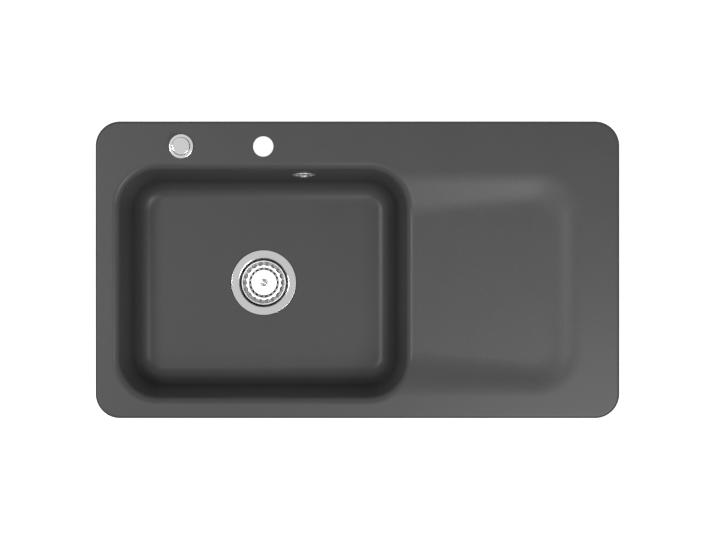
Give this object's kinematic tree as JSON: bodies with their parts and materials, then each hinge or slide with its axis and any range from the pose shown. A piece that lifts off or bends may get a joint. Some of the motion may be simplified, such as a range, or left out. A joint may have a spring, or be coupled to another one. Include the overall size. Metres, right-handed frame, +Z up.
{
  "type": "kitchen sink with drainboard",
  "caption": "Inset kitchen sink in dark composite with one bowl, recessed drainboard, tap hole, rotary pop-up control, strainer basket waste and overflow pipes.",
  "frame": {"origin": "centre of the rim in plan, at the level of the rim's underside where it rests on the worktop", "axes": "+X along the sink towards the drainboard, +Y towards the tap deck at the rear, +Z up"},
  "size_m": [0.9, 0.51, 0.3138],
  "materials": {
    "composite_graphite": "satin moulded quartz composite",
    "chromed_brass": "satin chrome",
    "chromed_knob": "satin chrome",
    "brass_spindle": "turned brass",
    "spring_steel": "plain spring steel",
    "seal_rubber": "matt",
    "nut_plastic": "moulded, light grey",
    "black_plastic": "moulded, black",
    "white_plastic": "acetal, off-white",
    "brushed_steel": "turned and brushed",
    "steel_screw": "stainless steel",
    "pipe_plastic": "moulded polypropylene, white-grey",
    "polished_steel": "pressed and polished",
    "polished_stud": "polished"
  },
  "bodies": {
    "sink": {"sink_body": "composite_graphite", "control_ring": "chromed_brass", "control_deck_seal": "seal_rubber", "control_under_seal": "seal_rubber", "control_backnut": "nut_plastic", "drive_housing": "black_plastic", "housing_cap": "black_plastic", "control_cable_gland": "black_plastic", "waste_flange": "brushed_steel", "waste_upper_seal": "seal_rubber", "waste_lower_seal": "seal_rubber", "fixing_screw": "steel_screw", "waste_body": "pipe_plastic", "axle_seal": "seal_rubber", "lever_cable_gland": "black_plastic", "overflow_rosette": "polished_steel", "rosette_screw": "polished_stud", "overflow_seal": "seal_rubber", "overflow_head": "pipe_plastic", "overflow_riser": "pipe_plastic", "overflow_cross_pipe": "pipe_plastic", "overflow_elbow": "pipe_plastic", "head_slip_nut": "nut_plastic", "head_slip_seal": "seal_rubber", "elbow_upper_slip_nut": "nut_plastic", "elbow_upper_slip_seal": "seal_rubber", "elbow_side_slip_nut": "nut_plastic", "elbow_side_slip_seal": "seal_rubber", "branch_slip_nut": "nut_plastic", "branch_slip_seal": "seal_rubber"},
    "knob": {"control_knob": "chromed_knob", "control_spindle": "brass_spindle", "spindle_clip": "spring_steel"},
    "carriage": {"cable_carriage": "white_plastic"},
    "lever": {"lift_lever": "white_plastic", "lever_axle": "steel_screw", "cable_crank": "black_plastic", "crank_nut": "steel_screw"},
    "pin": {"lift_pin": "white_plastic"},
    "basket": {"strainer_basket": "polished_steel", "basket_stud": "polished_stud", "basket_plug_seal": "seal_rubber"}
  },
  "joints": [
    {"name": "knob_turn", "type": "hinge", "parent": "sink", "child": "knob", "pos_m": [-0.303, 0.212, 0], "axis": [0, 0, 1], "range_deg": [0, 90]},
    {"name": "carriage_lift", "type": "slide", "parent": "sink", "child": "carriage", "axis": [0, 0, 1], "range_m": [0, 0.012]},
    {"name": "lever_swing", "type": "hinge", "parent": "sink", "child": "lever", "pos_m": [-0.17011, -0.03766, -0.2445], "axis": [0.9476, -0.3193, 0], "range_deg": [0, 35]},
    {"name": "pin_lift", "type": "slide", "parent": "sink", "child": "pin", "axis": [0, 0, 1], "range_m": [0, 0.00962]},
    {"name": "basket_lift_out", "type": "slide", "parent": "pin", "child": "basket", "axis": [0, 0, 1], "range_m": [0, 0.26]}
  ],
  "couplings": [
    {"joint": "carriage_lift", "follows": "knob_turn", "m_per_rad": 0.0076394},
    {"joint": "lever_swing", "follows": "knob_turn", "ratio": 0.38889},
    {"joint": "pin_lift", "follows": "knob_turn", "m_per_rad": 0.0061259}
  ]
}
